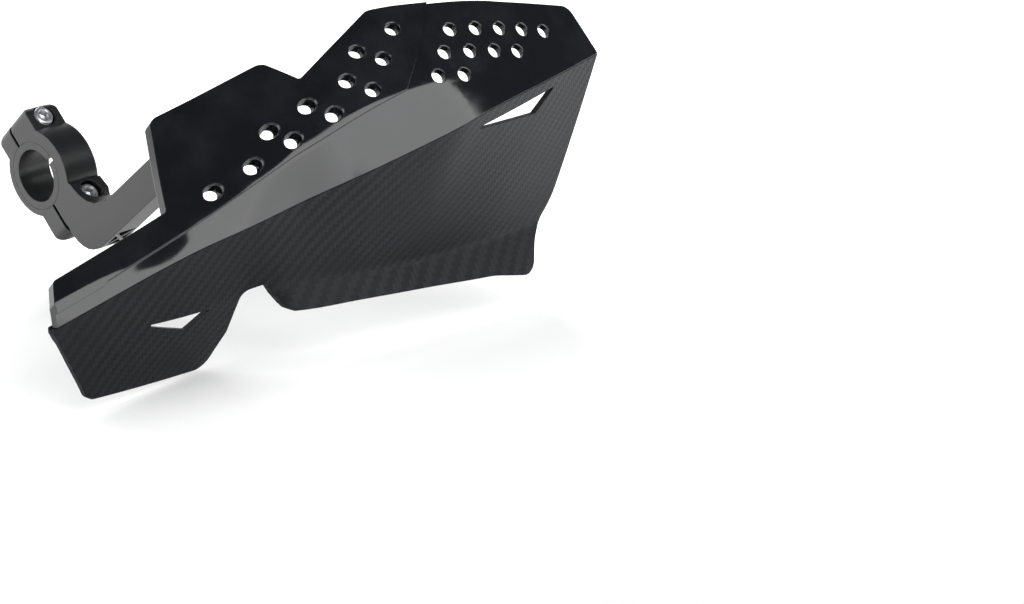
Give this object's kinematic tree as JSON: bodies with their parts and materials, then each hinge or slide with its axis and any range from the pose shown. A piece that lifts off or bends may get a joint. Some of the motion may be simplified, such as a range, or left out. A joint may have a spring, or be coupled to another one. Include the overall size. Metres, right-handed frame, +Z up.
{
  "type": "motorcycle hand guard",
  "caption": "Left hand guard with a vented gloss visor, a matte front panel and a truss arm that clamps round the handlebar.",
  "frame": {"origin": "on the handlebar bore's axis at the middle of the clamp's width", "axes": "+X along the handlebar bore, pointing outboard; -Y points forward, +Z up"},
  "size_m": [0.2345, 0.2004, 0.1329],
  "materials": {
    "gloss_shell": "gloss black moulding",
    "carbon_panel": "matte embossed twill",
    "arm_nylon": "satin glass-filled nylon",
    "shim": "satin",
    "screw_steel": "zinc plated",
    "dark_screw": "black oxide",
    "brass": "knurled brass"
  },
  "bodies": {
    "root": {"upper_shell": "gloss_shell", "front_panel": "carbon_panel", "mounting_arm": "arm_nylon", "clamp_cap": "arm_nylon", "clamp_shim": "shim", "clamp_screws": "screw_steel", "clamp_washers": "screw_steel", "clamp_nuts": "screw_steel", "arm_screws": "screw_steel", "arm_washers": "screw_steel", "arm_inserts": "brass", "panel_screws": "dark_screw"}
  },
  "joints": []
}
